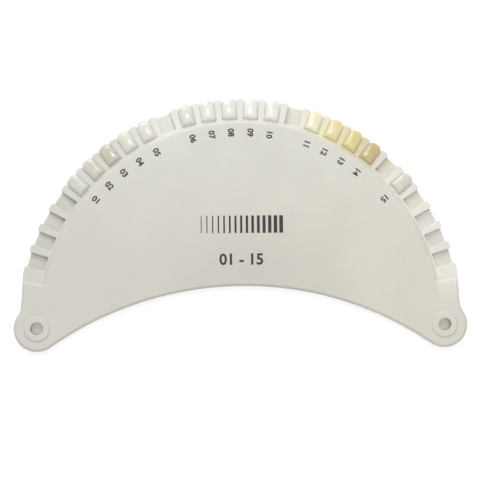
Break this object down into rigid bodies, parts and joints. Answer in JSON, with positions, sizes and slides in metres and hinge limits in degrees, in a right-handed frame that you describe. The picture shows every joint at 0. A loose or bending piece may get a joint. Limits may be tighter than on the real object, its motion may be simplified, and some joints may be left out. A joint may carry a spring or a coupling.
{
  "type": "dental shade guide",
  "caption": "Crescent-shaped dental shade guide: a frosted plastic holder with pockets round its convex rim, small ceramic shade tabs seated in some, and a plain hole at each end.",
  "frame": {"origin": "middle of the holder's outline, on its flat back", "axes": "+X along the line of the two end holes, +Y towards the convex rim with the pockets, +Z out of the face, away from the back"},
  "size_m": [0.151, 0.0836, 0.004],
  "materials": {
    "frosted_plastic": "milky, frosted, slightly translucent, satin",
    "ceramic_01": "glazed dental ceramic, slightly translucent",
    "ceramic_02": "glazed dental ceramic, slightly translucent",
    "ceramic_03": "glazed dental ceramic, slightly translucent",
    "ceramic_04": "glazed dental ceramic, slightly translucent",
    "ceramic_05": "glazed dental ceramic, slightly translucent",
    "ceramic_06": "glazed dental ceramic, slightly translucent",
    "ceramic_07": "glazed dental ceramic, slightly translucent",
    "ceramic_08": "glazed dental ceramic, slightly translucent",
    "ceramic_09": "glazed dental ceramic, slightly translucent",
    "ceramic_10": "glazed dental ceramic, slightly translucent",
    "ceramic_11": "glazed dental ceramic, slightly translucent",
    "ceramic_12": "glazed dental ceramic, slightly translucent",
    "ceramic_13": "glazed dental ceramic, slightly translucent",
    "ceramic_14": "glazed dental ceramic, slightly translucent",
    "ceramic_15": "glazed dental ceramic, slightly translucent"
  },
  "bodies": {
    "root": {"holder": "frosted_plastic", "tab_01": "ceramic_01", "tab_02": "ceramic_02", "tab_03": "ceramic_03", "tab_04": "ceramic_04", "tab_05": "ceramic_05", "tab_06": "ceramic_06", "tab_07": "ceramic_07", "tab_08": "ceramic_08", "tab_09": "ceramic_09", "tab_10": "ceramic_10", "tab_11": "ceramic_11", "tab_12": "ceramic_12", "tab_13": "ceramic_13", "tab_14": "ceramic_14", "tab_15": "ceramic_15"}
  },
  "joints": []
}
